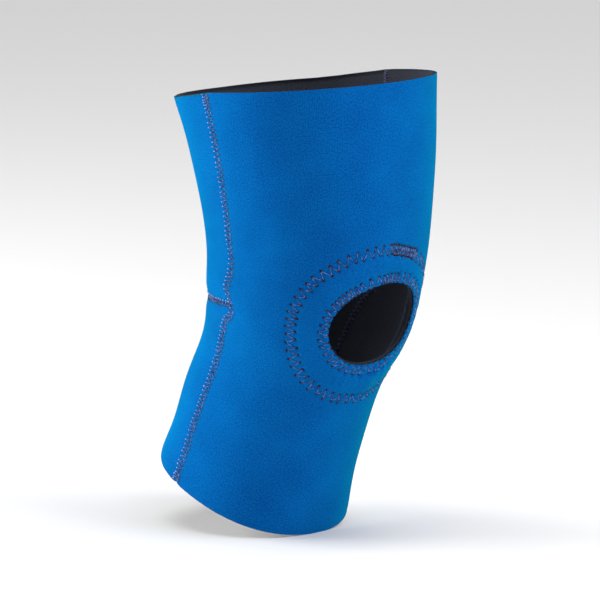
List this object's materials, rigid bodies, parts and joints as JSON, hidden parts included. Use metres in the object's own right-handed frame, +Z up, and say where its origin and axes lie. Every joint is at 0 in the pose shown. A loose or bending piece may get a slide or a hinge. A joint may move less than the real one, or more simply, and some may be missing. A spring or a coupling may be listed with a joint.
{
  "type": "open patella knee sleeve",
  "caption": "Pull-on padded knee sleeve of laminated stretch foam, bent at rest, with a ringed opening for the knee cap and zigzag-sewn side seams.",
  "frame": {"origin": "middle of the knee, on the sleeve's centreline at the level of the crease seam behind the knee", "axes": "+Z up the leg, -Y out through the knee cap opening, X across the knee; at rest the knee is bent by 29.8 degrees"},
  "size_m": [0.1462, 0.1736, 0.2751],
  "materials": {
    "face_knit": "royal blue knitted nylon, fine matt rib with a soft sheen",
    "foam_core": "black closed-cell foam rubber, raw cut edge",
    "lining_knit": "near-black knitted nylon lining",
    "pad_foam": "dense black foam",
    "cover_cloth": "near-black stretch cloth over the pad ring",
    "thread": "textured violet-blue nylon sewing thread"
  },
  "bodies": {
    "thigh_section": {"buttress_cover": "cover_cloth", "buttress_pad": "pad_foam", "crease_seam": "thread", "front_panel_knee_core": "foam_core", "front_panel_knee_face": "face_knit", "front_panel_knee_lining": "lining_knit", "front_panel_thigh_core": "foam_core", "front_panel_thigh_face": "face_knit", "front_panel_thigh_lining": "lining_knit", "inner_ring_stitch": "thread", "left_side_seam_knee": "thread", "left_side_seam_thigh": "thread", "lower_back_panel_knee_core": "foam_core", "lower_back_panel_knee_face": "face_knit", "lower_back_panel_knee_lining": "lining_knit", "outer_ring_stitch": "thread", "right_side_seam_knee": "thread", "right_side_seam_thigh": "thread", "upper_back_panel_knee_core": "foam_core", "upper_back_panel_knee_face": "face_knit", "upper_back_panel_knee_lining": "lining_knit", "upper_back_panel_thigh_core": "foam_core", "upper_back_panel_thigh_face": "face_knit", "upper_back_panel_thigh_lining": "lining_knit"},
    "calf_section": {"front_panel_calf_core": "foam_core", "front_panel_calf_face": "face_knit", "front_panel_calf_lining": "lining_knit", "left_side_seam_calf": "thread", "lower_back_panel_calf_core": "foam_core", "lower_back_panel_calf_face": "face_knit", "lower_back_panel_calf_lining": "lining_knit", "right_side_seam_calf": "thread"}
  },
  "joints": [
    {"name": "knee_flexion", "type": "hinge", "parent": "thigh_section", "child": "calf_section", "pos_m": [0, 0, 0], "axis": [1, 0, 0], "range_deg": [-29.8, 60], "stiffness_Nm_per_rad": 1.5, "deforming": ["buttress_cover", "buttress_pad", "crease_seam", "front_panel_knee_core", "front_panel_knee_face", "front_panel_knee_lining", "inner_ring_stitch", "left_side_seam_knee", "lower_back_panel_knee_core", "lower_back_panel_knee_face", "lower_back_panel_knee_lining", "outer_ring_stitch", "right_side_seam_knee", "upper_back_panel_knee_core", "upper_back_panel_knee_face", "upper_back_panel_knee_lining"]}
  ]
}
